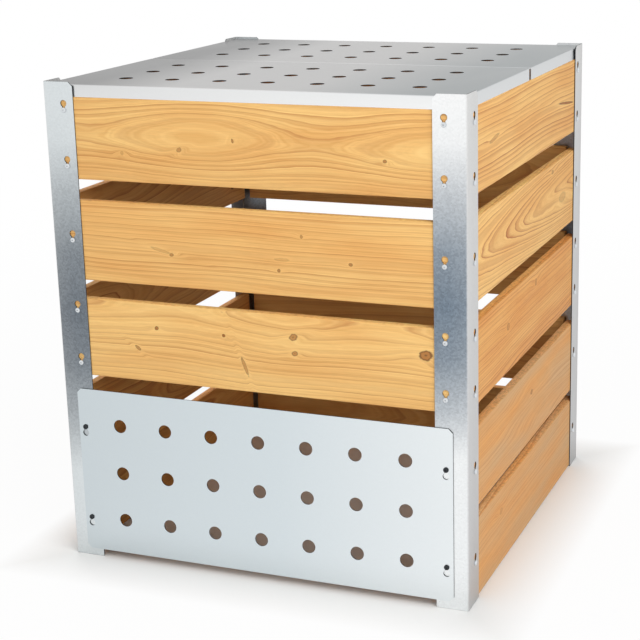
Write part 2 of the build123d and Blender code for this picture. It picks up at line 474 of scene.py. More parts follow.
    # The narrow edges are left as sawn, with saw marks, and lightened: partly the paler sawn wood and partly
    # painted light on the top and bottom faces
    facing = add_node(tree, "ShaderNodeNewGeometry").outputs["Normal"]
    upright = add_node(tree, "ShaderNodeSeparateXYZ", {0: facing}).outputs["Z"]
    level = add_node(tree, "ShaderNodeMath", {0: upright}, operation="ABSOLUTE").outputs[0]
    sawn = add_node(tree, "ShaderNodeMapRange", {"Value": level, "From Min": 0.75, "From Max": 0.95})
    saw_marks_and_painted_light = add_node(
        tree,
        "ShaderNodeMapRange",
        {"Value": patterns["saw_marks"], "From Min": low, "From Max": high, "To Min": 0.95, "To Max": 1.5},
    ).outputs[0]
    colour = add_node(
        tree,
        "ShaderNodeMix",
        {"Factor": sawn.outputs[0], MIX_A: colour, MIX_B: saw_marks_and_painted_light},
        data_type="RGBA",
        blend_type="MULTIPLY",
        clamp_result=True,
    ).outputs[MIX_RESULT]
    # A knot has a dark heart and a dark bark line, with reddish branch wood between them
    spread = add_node(tree, "ShaderNodeMath", {0: nearest, 1: KNOT_RIM[1]}, operation="DIVIDE").outputs[0]
    dark, reddish = settings.knot, settings.branch
    knot_colour = add_node(
        tree,
        "ShaderNodeValToRGB",
        {"Fac": spread},
        stops=((0.22, dark), (0.38, reddish), (0.62, reddish), (0.76, dark), (1.0, dark)),
    ).outputs["Color"]
    colour = add_node(
        tree, "ShaderNodeMix", {"Factor": core, MIX_A: colour, MIX_B: knot_colour}, data_type="RGBA"
    ).outputs[MIX_RESULT]
    tree.links.new(colour, shader.inputs["Base Color"])

    rough, smooth = WOOD_ROUGHNESS
    gloss = add_node(
        tree, "ShaderNodeMapRange", {"Value": patterns["fibre"], "To Min": rough, "To Max": smooth}
    )
    tree.links.new(gloss.outputs[0], shader.inputs["Roughness"])
    relief = add_node(
        tree, "ShaderNodeMath", {0: patterns["fibre"], 1: 0.5, 2: late}, operation="MULTIPLY_ADD"
    ).outputs[0]
    bump = add_node(tree, "ShaderNodeBump", {"Height": relief, "Strength": 0.2, "Distance": 0.25 * MM})
    tree.links.new(bump.outputs[0], shader.inputs["Normal"])
    shader.inputs["Specular IOR Level"].default_value = 0.35
    return material


def galvanised(name, colour_of, settings, roughness, contrast):
    """Hot-dip galvanised sheet: a grey metal gleam broken by a fine spangle of zinc crystals, each a little
    lighter or duller than the next. colour_of adds the nodes for the sheet's colour with its painted
    reflections and gives the share of the spangle that shows there."""
    material, tree, shader = new_material(name)
    place = add_node(tree, "ShaderNodeTexCoord").outputs["Object"]
    plain, spangled = colour_of(tree, place, settings)
    crystals = add_node(
        tree, "ShaderNodeTexVoronoi", {"Vector": place, "Scale": 1 / settings.spangle, "Randomness": 1.0}
    )
    crystal = add_node(tree, "ShaderNodeSeparateColor", {0: crystals.outputs["Color"]}).outputs[0]
    # Fine grain on the crystals, drawn 1.6 mm across and so coarser than it is, so that it shows
    dust = add_node(
        tree, "ShaderNodeTexNoise", {"Vector": place, "Scale": 1 / (1.6 * MM), "Detail": 3.0}
    ).outputs["Fac"]
    mottle = add_node(
        tree, "ShaderNodeMath", {0: dust, 1: 0.55, 2: crystal}, operation="MULTIPLY_ADD"
    ).outputs[0]
    mottled = []
    for middle, reach in ((1.0, contrast), (roughness, contrast / 3)):
        spread = {"From Min": 0.2, "From Max": 1.3, "To Min": middle - reach, "To Max": middle + reach}
        mottled.append(add_node(tree, "ShaderNodeMapRange", {"Value": mottle, **spread}).outputs[0])
    shade, gloss = mottled
    zinc_colour = add_node(
        tree,
        "ShaderNodeMix",
        {"Factor": spangled, MIX_A: plain, MIX_B: shade},
        data_type="RGBA",
        blend_type="MULTIPLY",
    ).outputs[MIX_RESULT]
    # Sheared and punched edges show the bare, dull steel under the zinc
    cut = add_node(tree, "ShaderNodeAttribute", attribute_name=CUT_EDGE).outputs["Fac"]
    colour = add_node(
        tree,
        "ShaderNodeMix",
        {"Factor": cut, MIX_A: zinc_colour, MIX_B: settings.cut_steel},
        data_type="RGBA",
    )
    tree.links.new(colour.outputs[MIX_RESULT], shader.inputs["Base Color"])
    tree.links.new(gloss, shader.inputs["Roughness"])
    bump = add_node(tree, "ShaderNodeBump", {"Height": dust, "Strength": contrast / 2, "Distance": 0.04 * MM})
    tree.links.new(bump.outputs[0], shader.inputs["Normal"])
    shader.inputs["Metallic"].default_value = 1.0
    shader.inputs["Specular Tint"].default_value = (*settings.edge_tint, 1)
    return material


def zinc(name, worn, fresh):
    """Zinc plating on turned screws and nuts: a clean metal shine, broken by turning and handling marks."""
    material, tree, shader = new_material(name)
    place = add_node(tree, "ShaderNodeTexCoord").outputs["Object"]
    # Turning and handling marks, drawn 1 mm across and so coarser than they are, so that they show
    marks = add_node(
        tree, "ShaderNodeTexNoise", {"Vector": place, "Scale": 1 / (1.0 * MM), "Detail": 2.0}
    ).outputs["Fac"]
    colour = add_node(tree, "ShaderNodeMix", {"Factor": marks, MIX_A: worn, MIX_B: fresh}, data_type="RGBA")
    tree.links.new(colour.outputs[MIX_RESULT], shader.inputs["Base Color"])
    smooth, rough = PLATING_ROUGHNESS
    gloss = add_node(tree, "ShaderNodeMapRange", {"Value": marks, "To Min": smooth, "To Max": rough})
    tree.links.new(gloss.outputs[0], shader.inputs["Roughness"])
    shader.inputs["Metallic"].default_value = 1.0
    return material


def piece(bm, name, material, body, slot, *nodes):
    """Makes a finished bmesh an object that rides on its body and stands for its CAD nodes."""
    mesh = bpy.data.meshes.new(name)
    bm.to_mesh(mesh)
    bm.free()
    mesh.polygons.foreach_set("use_smooth", [True] * len(mesh.polygons))
    mesh.set_sharp_from_angle(angle=SHARP_ANGLE)
    mesh.materials.append(material)
    made = bpy.data.objects.new(name, mesh)
    bpy.context.scene.collection.objects.link(made)
    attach(made, body)
    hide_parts(*nodes)


def box_solid(low, high):
    """Closed box between two corners."""
    bm = bmesh.new()
    bmesh.ops.create_cube(bm, size=1.0)
    bmesh.ops.scale(bm, vec=high - low, verts=bm.verts)
    bmesh.ops.translate(bm, vec=(low + high) / 2, verts=bm.verts)
    return bm


def carved(bm, *cutters):
    """The solid with each cutter taken out in turn."""
    made = []
    for number, shape in enumerate((bm, *cutters)):
        mesh = bpy.data.meshes.new(f"carving_{number}")
        bmesh.ops.recalc_face_normals(shape, faces=shape.faces)
        shape.to_mesh(mesh)
        shape.free()
        made.append(bpy.data.objects.new(mesh.name, mesh))
        bpy.context.scene.collection.objects.link(made[-1])
    for tool in made[1:]:
        cut = made[0].modifiers.new(tool.name, "BOOLEAN")
        cut.operation = "DIFFERENCE"
        cut.solver = "EXACT"
        cut.object = tool
    result = bpy.data.meshes.new_from_object(made[0].evaluated_get(bpy.context.evaluated_depsgraph_get()))
    solid = bmesh.new()
    solid.from_mesh(result)
    bpy.data.meshes.remove(result)
    for used in made:
        mesh = used.data
        bpy.data.objects.remove(used)
        bpy.data.meshes.remove(mesh)
    return solid


def rounded(bm, edges, offset, segments):
    """Rounds edges, or cuts them off straight with one segment."""
    bmesh.ops.bevel(
        bm,
        geom=edges,
        offset=offset,
        offset_type="OFFSET",
        affect="EDGES",
        segments=segments,
        profile=0.5,
        material=-1,
    )


def edges_along(bm, direction):
    """Edges that run in a direction."""
    found = []
    for edge in bm.edges:
        span = (edge.verts[1].co - edge.verts[0].co).normalized()
        if abs(span.dot(direction)) > ALIGNED:
            found.append(edge)
    return found


def rim_edges(bm, direction):
    """Edges of the faces that look in a direction."""
    bm.normal_update()
    return [e for e in bm.edges if any(f.normal.dot(direction) > FACING for f in e.link_faces)]


def sliced(bm, place, normal, clear=False):
    """Cuts everything along a plane, clears the outer side if asked, and gives the edges of the cut."""
    whole = bm.verts[:] + bm.edges[:] + bm.faces[:]
    cut = bmesh.ops.bisect_plane(bm, geom=whole, plane_co=place, plane_no=normal, clear_outer=clear)
    return [e for e in cut["geom_cut"] if isinstance(e, bmesh.types.BMEdge)]


def round_punches(places, axis, radius, length, sides, rise=0.0):
    """Cutters for round holes at the places, or for upright slots that rise by a height."""
    bm = bmesh.new()
    turn = UP.rotation_difference(axis).to_matrix().to_4x4() @ Matrix.Rotation(math.pi / sides, 4, "Z")
    cut = bm.faces.layers.float.new(CUT_EDGE)
    for place in places:
        rod = bmesh.ops.create_cone(
            bm,
            cap_ends=True,
            segments=sides,
            radius1=radius,
            radius2=radius,
            depth=length,
            matrix=Matrix.Translation(place) @ turn,
        )
        if rise:
            ahead = [v for v in rod["verts"] if (v.co.z - place.z) * rise > 0]
            bmesh.ops.translate(bm, vec=(0, 0, rise), verts=ahead)
    for face in bm.faces:
        face[cut] = 1.0
    return bm


def mark_cut(bm, is_cut):
    """Marks the faces along which the sheet was cut."""
    cut = bm.faces.layers.float.new(CUT_EDGE)
    bm.normal_update()
    for face in bm.faces:
        face[cut] = float(is_cut(face))


def wall_matrix(wall):
    """Places a wall's own frame, x along the wall and y inwards from the posts' outer faces."""
    along, inwards, half = WALLS[wall]
    turn = Matrix((along, inwards, UP)).transposed().to_4x4()
    return Matrix.Translation(-half * inwards) @ turn


def screw_heights(wall):
    """Heights of the screws at each end of a wall's boards; the removal panel takes the front wall's foot."""
    heights = []
    for level in FRONT_LEVELS if wall == "front" else LEVELS:
        low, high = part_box(f"{wall}_board_{level}")
        middle = (low.z + high.z) / 2
        heights += [middle - SCREW_PAIR / 2, middle + SCREW_PAIR / 2] if level in PAIRED_LEVELS else [middle]
    return heights


def screw_reach(wall):
    """Distance of a wall's screws from its middle."""
    half = HALF_WIDTH if wall in ("front", "rear") else HALF_DEPTH
    return half - KEYHOLE_INSET


def colour_property(name, description, hex_colour):
    """A colour that a user can change."""
    return FloatVectorProperty(
        name=name, description=description, subtype="COLOR", default=linear(hex_colour)
    )


def length_property(name, description, length):
    """A size that a user can change."""
    return FloatProperty(name=name, description=description, unit="LENGTH", default=length)


def share_property(name, description, share):
    """A share that a user can change."""
    return FloatProperty(name=name, description=description, subtype="FACTOR", default=share)


def power_property(name, description, power):
    """A lamp's power that a user can change."""
    return FloatProperty(name=name, description=description, unit="POWER", default=power)


class LarchSettings(bpy.types.PropertyGroup):
    """Boards of planed larch."""

    edge_round: length_property("Edge round", "Radius of the boards' eased long edges", 2.2 * MM)
    early_pale: colour_property("Pale early wood", "Colour of the palest wood", "#FED48A")
    early_deep: colour_property("Deep early wood", "Colour of the deepest early wood", "#EBAB60")
    early_tan: colour_property("Tan early wood", "Colour of wood that light has tanned", "#D5B98F")
    late: colour_property("Late wood", "Colour of the lines between the years", "#B26124")
    knot: colour_property("Knots", "Colour of the knots' hearts and bark", "#643A1A")
    branch: colour_property("Branch wood", "Colour of the knots' branch wood", "#A86C34")
    fibre_shade: colour_property("Fibre shade", "What the darkest fibres leave of the colour", "#F6F6F6")
    streak_shade: colour_property("Streak shade", "What the darkest streaks leave of the colour", "#F7F5F3")
    season_shade: colour_property("Season shade", "What the lines within a year leave of it", "#F3E9DE")


class SteelSettings(bpy.types.PropertyGroup):
    """Galvanised posts, removal panel and lid."""

    spangle: length_property("Spangle", "Size of the zinc crystals", 3.0 * MM)
    post_spangle: share_property("Post spangle", "How far the posts' crystals differ in shade", 0.2)
    post_roughness: share_property("Post roughness", "Roughness of the posts' zinc", 0.34)
    smooth_spangle: share_property("Smooth spangle", "How far the crystals of lid and panel differ", 0.006)
    smooth_roughness: share_property("Smooth roughness", "Roughness of the zinc of lid and panel", 0.3)
    # The posts' colours are painted reflections: light near the ends, a dark band at the middle of the front
    # and rear legs, and light side legs
    left_post_end_reflection: colour_property("Post, left ends", "Zinc near the left posts' ends", "#DBE1E3")
    right_post_top_reflection: colour_property("Post, right tops", "Zinc near the right posts' tops", "#FDFEFE")
    right_post_foot_reflection: colour_property("Post, right feet", "Zinc at the right posts' feet", "#F3F6F7")
    left_post_dark_reflection: colour_property("Post, dull left", "Duller zinc at the left posts' middle", "#727980")
    right_post_dark_reflection: colour_property("Post, dull right", "Duller zinc at the right posts' middle", "#7A8896")
    side_leg_top_reflection: colour_property("Post, side legs", "Zinc at the top of the side legs", "#E9E9E8")
    side_leg_foot_reflection: colour_property("Post, side feet", "Zinc at the foot of the side legs", "#D4D4D5")
    # The panel's colours are a painted reflection that grows lighter from left to right
    panel_reflection_left: colour_property("Panel, left", "Zinc at the panel's left end", "#CED7DB")
    panel_reflection_middle: colour_property("Panel, middle", "Zinc at the panel's middle", "#D8E1E5")
    panel_reflection_right: colour_property("Panel, right", "Zinc at the panel's right end", "#EDF2F4")
    # The lid's colours are painted reflections: a light middle between darker ends on the top, and folds
    # painted lighter than the top
    lid_reflection_light: colour_property("Lid, light", "Brightest zinc of the lid", "#D8D7D6")
    lid_reflection_dark: colour_property("Lid, dull", "Dullest zinc of the lid", "#9C9C9C")
    lid_reflection_right: colour_property("Lid, right", "Zinc at the lid's right end", "#B2B7B8")
    lid_fold_lit_left: colour_property("Lid edges, left", "Zinc of the long folds at the left", "#E0E1E1")
    lid_fold_lit_right: colour_property("Lid edges, right", "Zinc of the long folds at the right", "#FAFBFB")
    lid_end_lit: colour_property("Lid, ends", "Zinc of the lid's folded ends", "#EEF0F1")
    cut_steel: colour_property("Cut edges", "Bare steel where the sheets were cut", "#4C4F52")
    edge_tint: colour_property("Edge tint", "How bright the zinc gleams at a flat angle", "#DADADA")
    hole_sides: IntProperty(
        name="Hole sides", description="Sides of the round perforations", default=40, min=12
    )
    keyhole_sides: IntProperty(
        name="Keyhole sides", description="Sides of a keyhole's ends", default=24, min=8
    )


class FastenerSettings(bpy.types.PropertyGroup):
    """Screws and nuts."""

    head_radius: length_property("Head radius", "Radius of the screw heads", 5.0 * MM)
    head_height: length_property("Head height", "Height of the screw heads", 3.0 * MM)
    shank_radius: length_property("Shank radius", "Radius of the shanks", 2.5 * MM)
    steps: IntProperty(name="Steps", description="Steps round a screw", default=20, min=8)
    plating: colour_property("Plating", "Bright zinc", "#F4F6F7")
    plating_dark: colour_property("Worn plating", "Zinc in the handling marks", "#C4CBD1")
    # Dark plating on the panel's screws is painted shade for the keyholes round their heads
    painted_shade_plating: colour_property("Black plating", "Black zinc of the panel's screws", "#4A4D50")
    painted_shade_worn: colour_property("Worn black plating", "Black zinc in the handling marks", "#2E3032")


class StageSettings(bpy.types.PropertyGroup):
    """Floor, lamps and camera."""

    floor_colour: colour_property("Floor", "Colour of the floor", "#F4F4F2")
    floor_size: length_property("Floor size", "Side of the floor", 40.0)
    shadow_reach: length_property("Shadow reach", "Distance over which the floor turns white", 2.5)
    room_light: share_property("Room light", "Strength of the light from all round", 0.2)
    key_power: power_property("Key lamp", "Power of the lamp in front", 66.0)
    fill_power: power_property("Fill lamp", "Power of the lamp at the right", 162.0)
    back_power: power_property("Back lamp", "Power of the lamp behind", 85.0)
    lens: FloatProperty(name="Lens", description="Focal length in mm", default=87.4, unit="CAMERA")


class BinSettings(bpy.types.PropertyGroup):
    """All the settings of the compost bin."""

    larch: PointerProperty(name="Larch", description="Boards of planed larch", type=LarchSettings)
    steel: PointerProperty(name="Steel", description="Posts, removal panel and lid", type=SteelSettings)
    fasteners: PointerProperty(name="Fasteners", description="Screws and nuts", type=FastenerSettings)
    stage: PointerProperty(name="Stage", description="Floor, lamps and camera", type=StageSettings)


class COMPOSTBIN_OT_boards(bpy.types.Operator):
    """Saws every board from its own place in a trunk and eases its edges"""

    bl_idname = "compostbin.boards"
    bl_label = "Larch Boards"

    def execute(self, context):
        settings = context.scene.compost_bin.larch
        for number, wall in enumerate(WALLS):
            for level in FRONT_LEVELS if wall == "front" else LEVELS:
                # Each board takes its own stretch of the trunk
                stretch = TRUNK_STRETCH * (len(LEVELS) * number + LEVELS.index(level))
                self.add_board(f"{wall}_board_{level}", wall, stretch, settings)
        return {"FINISHED"}

    def add_board(self, name, wall, stretch, settings):
        """One board in the place of its CAD node, with its own figure."""
        low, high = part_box(name)
        centre = (low + high) / 2
        along, inwards, _ = WALLS[wall]
        bm = box_solid(low, high)
        rounded(bm, edges_along(bm, along), settings.edge_round, EDGE_STEPS)
        ends = rim_edges(bm, along) + rim_edges(bm, -along)
        rounded(bm, ends, settings.edge_round * END_ROUND, END_STEPS)
        length = abs((high - low).dot(along))
        for step in range(1, BOARD_LENGTHS):
            sliced(bm, centre + along * (step / BOARD_LENGTHS - 0.5) * length, along)
        # Each vertex keeps its place on the board and in the trunk, which the wood's patterns follow
        figure = figure_of(name)
        board_place = bm.verts.layers.float_vector.new("board_place")
        log_place = bm.verts.layers.float_vector.new("log_place")
        outer_face = centre.dot(inwards) - abs((high - low).dot(inwards)) / 2
        for vert in bm.verts:
            x = (vert.co - centre).dot(along)
            z = vert.co.z - centre.z
            y = vert.co.dot(inwards) - outer_face
            vert[board_place] = (x, z, y)
            swung = (1 - math.cos(2 * math.pi * (x - figure.crest * MM) / SWING_LENGTH)) / 2
            away = figure.behind - figure.taper * x + figure.swing * swung
            vert[log_place] = (x + stretch, z - figure.across * MM, y + away * MM)
        piece(bm, f"larch_{name}", larch(name, figure, settings), "frame", "larch", name)


class COMPOSTBIN_OT_posts(bpy.types.Operator):
    """Folds the four corner posts and cuts their keyholes"""

    bl_idname = "compostbin.posts"
    bl_label = "Corner Posts"

    def execute(self, context):
        settings = context.scene.compost_bin.steel
        roughness, spangle = settings.post_roughness, settings.post_spangle
        material = galvanised("galvanised_post_sheet", self.painted_reflection_colour, settings, roughness, spangle)
        for wall in ("front", "rear"):
            for side in ("left", "right"):
                self.add_post(wall, side, material, settings)
        return {"FINISHED"}

    def painted_reflection_colour(self, tree, place, settings):
        """Zinc painted with reflections: darker towards the middle of the front and rear legs, lower, wider
        and deeper on the left than on the right, lighter towards the ends, and light on the side legs."""
        spot = add_node(tree, "ShaderNodeSeparateXYZ", {0: place}).outputs
        share = add_node(
            tree, "ShaderNodeMath", {0: spot["Z"], 1: POST_HEIGHT}, operation="DIVIDE"
        ).outputs[0]
        across = add_node(
            tree, "ShaderNodeMapRange", {"Value": spot["X"], "From Min": -HALF_WIDTH, "From Max": HALF_WIDTH}
        ).outputs[0]
        centre, closeness = [
            add_node(tree, "ShaderNodeMapRange", {"Value": across, "To Min": low, "To Max": high}).outputs[0]
            for low, high in (DARK_REFLECTION_CENTRE, DARK_REFLECTION_CLOSENESS)
        ]
        away = add_node(tree, "ShaderNodeMath", {0: share, 1: centre}, operation="SUBTRACT").outputs[0]
        height = add_node(
            tree, "ShaderNodeMath", {0: away, 1: closeness, 2: DARKEST_REFLECTION}, operation="MULTIPLY_ADD"
        ).outputs[0]
        dark_reflection = add_node(tree, "ShaderNodeValToRGB", {"Fac": height}, stops=DARK_REFLECTION_BAND).outputs["Color"]
        facing = add_node(tree, "ShaderNodeNewGeometry").outputs["Normal"]
        sideways = add_node(tree, "ShaderNodeSeparateXYZ", {0: facing}).outputs["X"]
        turned = add_node(tree, "ShaderNodeMath", {0: sideways}, operation="ABSOLUTE").outputs[0]
        zincs = {}
        for part, factor, first, second in (
            ("right ends", share, settings.right_post_foot_reflection, settings.right_post_top_reflection),
            ("bright", across, settings.left_post_end_reflection, "right ends"),
            ("dark", across, settings.left_post_dark_reflection, settings.right_post_dark_reflection),
            ("legs", dark_reflection, "bright", "dark"),
            ("side legs", share, settings.side_leg_foot_reflection, settings.side_leg_top_reflection),
            ("all", turned, "legs", "side legs"),
        ):
            ends = [zincs[end] if isinstance(end, str) else end for end in (first, second)]
            zincs[part] = add_node(
                tree, "ShaderNodeMix", {"Factor": factor, MIX_A: ends[0], MIX_B: ends[1]}, data_type="RGBA"
            ).outputs[MIX_RESULT]
        # The spangle shows where the painted reflection is dark and fades where it is light
        ahead = add_node(tree, "ShaderNodeMath", {0: 1.0, 1: turned}, operation="SUBTRACT").outputs[0]
        front_dark_reflection = add_node(tree, "ShaderNodeMath", {0: dark_reflection, 1: ahead}, operation="MULTIPLY").outputs[0]
        spangled = add_node(tree, "ShaderNodeMapRange", {"Value": front_dark_reflection, "To Min": 0.2, "To Max": 1.0})
        return zincs["all"], spangled.outputs[0]

    def add_post(self, wall, side, material, settings):
        """One post, folded at the front left corner's origin and mirrored to its own corner."""
        name = f"{wall}_{side}_post"
        bm = bmesh.new()
        outline = (
            (0, 0),
            (POST_LEG, 0),
            (POST_LEG, POST_SHEET),
            (POST_SHEET, POST_SHEET),
            (POST_SHEET, POST_LEG),
            (0, POST_LEG),
        )
        foot = bm.faces.new([bm.verts.new((x, y, 0)) for x, y in outline])
        raised = bmesh.ops.extrude_face_region(bm, geom=[foot])
        top = [v for v in raised["geom"] if isinstance(v, bmesh.types.BMVert)]
        bmesh.ops.translate(bm, vec=(0, 0, POST_HEIGHT), verts=top)
        for corner, bend in ((0.0, POST_BEND), (POST_SHEET, POST_BEND - POST_SHEET)):
            at_corner = Vector((corner, corner))
            fold = [e for e in edges_along(bm, UP) if (e.verts[0].co.xy - at_corner).length < TINY]
            rounded(bm, fold, bend, FOLD_STEPS)
        # Each leg's top corner is cut off
        for direction in (RIGHT + UP, BACK + UP):
            tip = Vector((POST_LEG, POST_LEG, POST_HEIGHT)) * direction - POST_TIP_CUT * UP
            rim = sliced(bm, tip, direction.normalized(), clear=True)
            bmesh.ops.holes_fill(bm, edges=rim)
        # The ends and the legs' free edges were sheared
        mark_cut(bm, lambda f: abs(f.normal.z) > 0.5 or f.calc_center_median().xy.length > 0.99 * POST_LEG)
        seats = [Vector((KEYHOLE_INSET, POST_SHEET / 2, z)) for z in screw_heights(wall)]
        side_seats = [Vector((POST_SHEET / 2, KEYHOLE_INSET, z)) for z in screw_heights("left")]
        through = 3 * POST_SHEET
        sides = settings.keyhole_sides
        cutters = []
        for places, axis in ((seats, BACK), (side_seats, RIGHT)):
            openings = [p + KEYHOLE_DROP * UP for p in places]
            cutters.append(round_punches(places, axis, KEYHOLE_SLOT, through, sides, KEYHOLE_DROP))
            cutters.append(round_punches(openings, axis, KEYHOLE_OPENING, through, sides))
        if wall == "front":
            bolts = [Vector((KEYHOLE_INSET, POST_SHEET / 2, z)) for z in PANEL_SCREW_HEIGHTS]
            cutters.append(round_punches(bolts, BACK, PANEL_SCREW_HOLE, through, sides))
        bm = carved(bm, *cutters)
        mirrored = (1 if side == "left" else -1, 1 if wall == "front" else -1, 1)
        bmesh.ops.translate(bm, vec=(-HALF_WIDTH, -HALF_DEPTH, 0), verts=bm.verts)
        bmesh.ops.scale(bm, vec=mirrored, verts=bm.verts)
        bmesh.ops.recalc_face_normals(bm, faces=bm.faces)
        piece(bm, f"folded_{name}", material, "frame", "post_steel", name)


class COMPOSTBIN_OT_removal_panel(bpy.types.Operator):
    """Cuts the removal panel with its perforations and its keyholes that open downwards"""

    bl_idname = "compostbin.removal_panel"
    bl_label = "Removal Panel"

    def execute(self, context):
        settings = context.scene.compost_bin.steel
        low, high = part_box("removal_panel")
        middle = (low + high) / 2
        bm = box_solid(low, high)
        rounded(bm, edges_along(bm, BACK), PANEL_CORNER_CUT, 1)
        mark_cut(bm, lambda f: abs(f.normal.y) < 0.5)
        holes = [middle + Vector((i * PANEL_PITCH, 0, j * PANEL_PITCH)) for i, j in PERFORATION_STEPS]
        reach = screw_reach("front")
        seats = [Vector((x, middle.y, z)) for x in (-reach, reach) for z in PANEL_SCREW_HEIGHTS]
        openings = [s - KEYHOLE_DROP * UP for s in seats]
        through = 4 * (high.y - low.y)
        bm = carved(
            bm,
            round_punches(holes, BACK, PERFORATION, through, settings.hole_sides),
            round_punches(seats, BACK, PANEL_SLOT, through, settings.keyhole_sides, -KEYHOLE_DROP),
            round_punches(openings, BACK, KEYHOLE_OPENING, through, settings.keyhole_sides),
        )
        roughness, spangle = settings.smooth_roughness, settings.smooth_spangle
        material = galvanised("galvanised_panel_sheet", self.painted_reflection_colour, settings, roughness, spangle)
        piece(bm, "perforated_removal_panel", material, "removal_panel", "panel_steel", "removal_panel")
        return {"FINISHED"}

    def painted_reflection_colour(self, tree, place, settings):
        """Zinc with a painted reflection that grows lighter from the panel's left end to its right."""
        across = add_node(tree, "ShaderNodeSeparateXYZ", {0: place}).outputs["X"]
        share = add_node(
            tree, "ShaderNodeMapRange", {"Value": across, "From Min": -HALF_WIDTH, "From Max": HALF_WIDTH}
        ).outputs[0]
        stops = ((0.03, settings.panel_reflection_left), (0.55, settings.panel_reflection_middle), (0.97, settings.panel_reflection_right))
        return add_node(tree, "ShaderNodeValToRGB", {"Fac": share}, stops=stops).outputs["Color"], 1.0


class COMPOSTBIN_OT_lid(bpy.types.Operator):
    """Folds the lid's two perforated halves"""

    bl_idname = "compostbin.lid"
    bl_label = "Lid Halves"

    def execute(self, context):
        settings = context.scene.compost_bin.steel
        roughness, spangle = settings.smooth_roughness, settings.smooth_spangle
        material = galvanised("galvanised_lid_sheet", self.painted_reflection_colour, settings, roughness, spangle)
        for name in ("front_lid", "rear_lid"):
            self.add_half(name, material, settings)
        return {"FINISHED"}

    def painted_reflection_colour(self, tree, place, settings):
        """Zinc with painted reflections: dark at the lid's left, lightest over its middle and darker again at
        its right, with folded edges painted lighter than the top and growing lighter to the right."""
        across = add_node(tree, "ShaderNodeSeparateXYZ", {0: place}).outputs["X"]
        share = add_node(
            tree, "ShaderNodeMapRange", {"Value": across, "From Min": -HALF_WIDTH, "From Max": HALF_WIDTH}
        ).outputs[0]
        dark, light = settings.lid_reflection_dark, settings.lid_reflection_light
        top = add_node(
            tree,
            "ShaderNodeValToRGB",
            {"Fac": share},
            stops=((0.1, dark), (0.32, light), (0.6, light), (0.9, settings.lid_reflection_right)),
        ).outputs["Color"]
        facing = add_node(tree, "ShaderNodeNewGeometry").outputs["Normal"]
        turned = add_node(tree, "ShaderNodeVectorMath", {0: facing}, operation="ABSOLUTE").outputs[0]
        shares = add_node(tree, "ShaderNodeSeparateXYZ", {0: turned}).outputs
        colour = settings.lid_fold_lit_left
        for factor, other in (
            (share, settings.lid_fold_lit_right),
            (shares["X"], settings.lid_end_lit),
            (shares["Z"], top),
        ):
            colour = add_node(
                tree, "ShaderNodeMix", {"Factor": factor, MIX_A: colour, MIX_B: other}, data_type="RGBA"
            ).outputs[MIX_RESULT]
        return colour, 1.0

    def add_half(self, name, material, settings):
        """One half of the lid on its seat."""
        low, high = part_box(name)
        bm = box_solid(low, high)
        rounded(bm, rim_edges(bm, UP), LID_BEND, FOLD_STEPS)
        mark_cut(bm, lambda f: f.normal.z < -0.5)
        # The inside is open below, and the folds stop short of each other at the corners
        wall = Vector((LID_SHEET, LID_SHEET, 0))
        hollow = box_solid(low + wall - 2 * LID_SHEET * UP, high - wall - LID_SHEET * UP)
        relief = bmesh.new()
        bite = Vector((LID_CORNER_RELIEF, LID_CORNER_RELIEF, high.z - low.z - LID_BEND))
        for x in (low.x, high.x):
            for y in (low.y, high.y):
                notch = bmesh.ops.create_cube(relief, size=2.0)["verts"]
                bmesh.ops.scale(relief, vec=bite, verts=notch)
                bmesh.ops.translate(relief, vec=(x, y, low.z), verts=notch)
        middle = (low + high) / 2
        holes = [
            Vector((middle.x + i * LID_PITCH[0], middle.y + j * LID_PITCH[1], high.z))
            for i, j in PERFORATION_STEPS
        ]
        punches = round_punches(holes, UP, PERFORATION, 6 * LID_SHEET, settings.hole_sides)
        bm = carved(bm, hollow, relief, punches)
        piece(bm, f"perforated_{name}", material, name, "lid_steel", name)


def screw_bmesh(settings, shoulder_radius, shoulder, shank_end):
    """Pan-head screw along +Y with its head's bearing face at y 0: a turned head with a cross recess, an
    optional shoulder and a shank."""
    head, height, shank = settings.head_radius, settings.head_height, settings.shank_radius
    profile = [(out * head, up * height) for out, up in HEAD_OUTLINE]
    if shoulder:
        profile += [(shoulder_radius, 0), (shoulder_radius, shoulder)]
    point = SHANK_POINT * shank
    profile += [(shank, shoulder), (shank, shank_end - shank), (point, shank_end), (0, shank_end)]
    bm = bmesh.new()
    verts = [bm.verts.new((x, y, 0)) for x, y in profile]
    line = [bm.edges.new(pair) for pair in zip(verts, verts[1:])]
    bmesh.ops.spin(
        bm,
        geom=verts + line,
        cent=(0, 0, 0),
        axis=BACK,
        angle=2 * math.pi,
        steps=settings.steps,
        use_merge=True,
    )
    bmesh.ops.remove_doubles(bm, verts=bm.verts, dist=TINY)
    blades = []
    for turn in (RECESS_TURN, RECESS_TURN + math.pi / 2):
        # A blade of the recess: a four-sided taper, squared up, thinned and turned to its place
        blade = bmesh.new()
        bmesh.ops.create_cone(
            blade,
            cap_ends=True,
            segments=4,
            radius1=RECESS_REACH[0] * head,
            radius2=RECESS_REACH[1] * head,
            depth=RECESS_DEPTH * height,
            matrix=Matrix.Translation((0, -height, 0)) @ Matrix.Rotation(-math.pi / 2, 4, "X"),
        )
        squared, turned = Matrix.Rotation(math.pi / 4, 3, "Y"), Matrix.Rotation(turn, 3, "Y")
        bmesh.ops.rotate(blade, cent=(0, 0, 0), matrix=squared, verts=blade.verts)
        bmesh.ops.scale(blade, vec=(1.0, 1.0, RECESS_THINNESS), verts=blade.verts)
        bmesh.ops.rotate(blade, cent=(0, 0, 0), matrix=turned, verts=blade.verts)
        blades.append(blade)
    return carved(bm, *blades)


